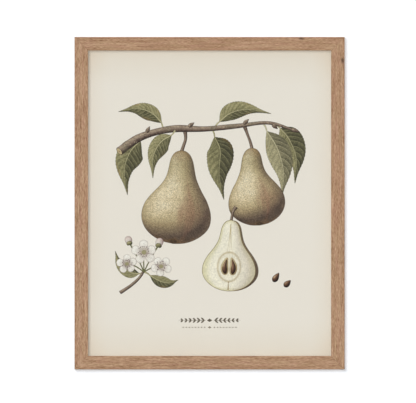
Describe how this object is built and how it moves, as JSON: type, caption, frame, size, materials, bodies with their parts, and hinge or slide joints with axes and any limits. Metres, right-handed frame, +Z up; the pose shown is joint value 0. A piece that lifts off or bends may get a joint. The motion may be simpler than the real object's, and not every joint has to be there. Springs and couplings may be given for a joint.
{
  "type": "framed print",
  "caption": "Upright framed print for a wall: a mitred oak frame with glazing, a print behind it, a backing held by turn buttons and a sawtooth hanger.",
  "frame": {"origin": "where the wall's nail carries the middle notch of the sawtooth hanger, in the plane of the wall", "axes": "+X to the right as seen from the front, +Y back into the wall, +Z up; the front faces -Y"},
  "size_m": [0.4404, 0.021, 0.542],
  "materials": {
    "oak": "matt oiled oak, warm brown, fine straight grain",
    "glazing": "clear, smooth, faintly reflecting",
    "paper": null,
    "mount_board": "matt white foam-cored board",
    "hardboard": "brown hardboard, smooth face",
    "turn_button": "brass-plated pressed strip, satin",
    "steel": "zinc-plated steel",
    "pad": "pale grey rubber, matt"
  },
  "bodies": {
    "frame": {"stile_left": "oak", "stile_right": "oak", "rail_top": "oak", "rail_bottom": "oak", "glazing": "glazing", "print_sheet": "paper", "mount_board": "mount_board", "backing_board": "hardboard", "button_screw_left_upper": "steel", "button_screw_left_lower": "steel", "button_screw_right_upper": "steel", "button_screw_right_lower": "steel", "button_screw_top_left": "steel", "button_screw_top_right": "steel", "button_screw_bottom_left": "steel", "button_screw_bottom_right": "steel", "corner_wedge_top_left_outer": "steel", "corner_wedge_top_left_inner": "steel", "corner_wedge_top_right_outer": "steel", "corner_wedge_top_right_inner": "steel", "corner_wedge_bottom_right_outer": "steel", "corner_wedge_bottom_right_inner": "steel", "corner_wedge_bottom_left_outer": "steel", "corner_wedge_bottom_left_inner": "steel", "sawtooth_hanger": "steel", "hanger_nail_left": "steel", "hanger_nail_right": "steel", "wall_pad_left": "pad", "wall_pad_right": "pad"},
    "button_left_upper": {"turn_button_left_upper": "turn_button"},
    "button_left_lower": {"turn_button_left_lower": "turn_button"},
    "button_right_upper": {"turn_button_right_upper": "turn_button"},
    "button_right_lower": {"turn_button_right_lower": "turn_button"},
    "button_top_left": {"turn_button_top_left": "turn_button"},
    "button_top_right": {"turn_button_top_right": "turn_button"},
    "button_bottom_left": {"turn_button_bottom_left": "turn_button"},
    "button_bottom_right": {"turn_button_bottom_right": "turn_button"}
  },
  "joints": [
    {"name": "turn_left_upper", "type": "hinge", "parent": "frame", "child": "button_left_upper", "pos_m": [-0.2112, -0.0022, -0.118], "axis": [0, 1, 0], "range_deg": [-90, 90]},
    {"name": "turn_left_lower", "type": "hinge", "parent": "frame", "child": "button_left_lower", "pos_m": [-0.2112, -0.0022, -0.398], "axis": [0, 1, 0], "range_deg": [-90, 90]},
    {"name": "turn_right_upper", "type": "hinge", "parent": "frame", "child": "button_right_upper", "pos_m": [0.2112, -0.0022, -0.118], "axis": [0, 1, 0], "range_deg": [-90, 90]},
    {"name": "turn_right_lower", "type": "hinge", "parent": "frame", "child": "button_right_lower", "pos_m": [0.2112, -0.0022, -0.398], "axis": [0, 1, 0], "range_deg": [-90, 90]},
    {"name": "turn_top_left", "type": "hinge", "parent": "frame", "child": "button_top_left", "pos_m": [-0.11, -0.0022, 0.004], "axis": [0, 1, 0], "range_deg": [-90, 90]},
    {"name": "turn_top_right", "type": "hinge", "parent": "frame", "child": "button_top_right", "pos_m": [0.11, -0.0022, 0.004], "axis": [0, 1, 0], "range_deg": [-90, 90]},
    {"name": "turn_bottom_left", "type": "hinge", "parent": "frame", "child": "button_bottom_left", "pos_m": [-0.11, -0.0022, -0.52], "axis": [0, 1, 0], "range_deg": [-90, 90]},
    {"name": "turn_bottom_right", "type": "hinge", "parent": "frame", "child": "button_bottom_right", "pos_m": [0.11, -0.0022, -0.52], "axis": [0, 1, 0], "range_deg": [-90, 90]}
  ]
}
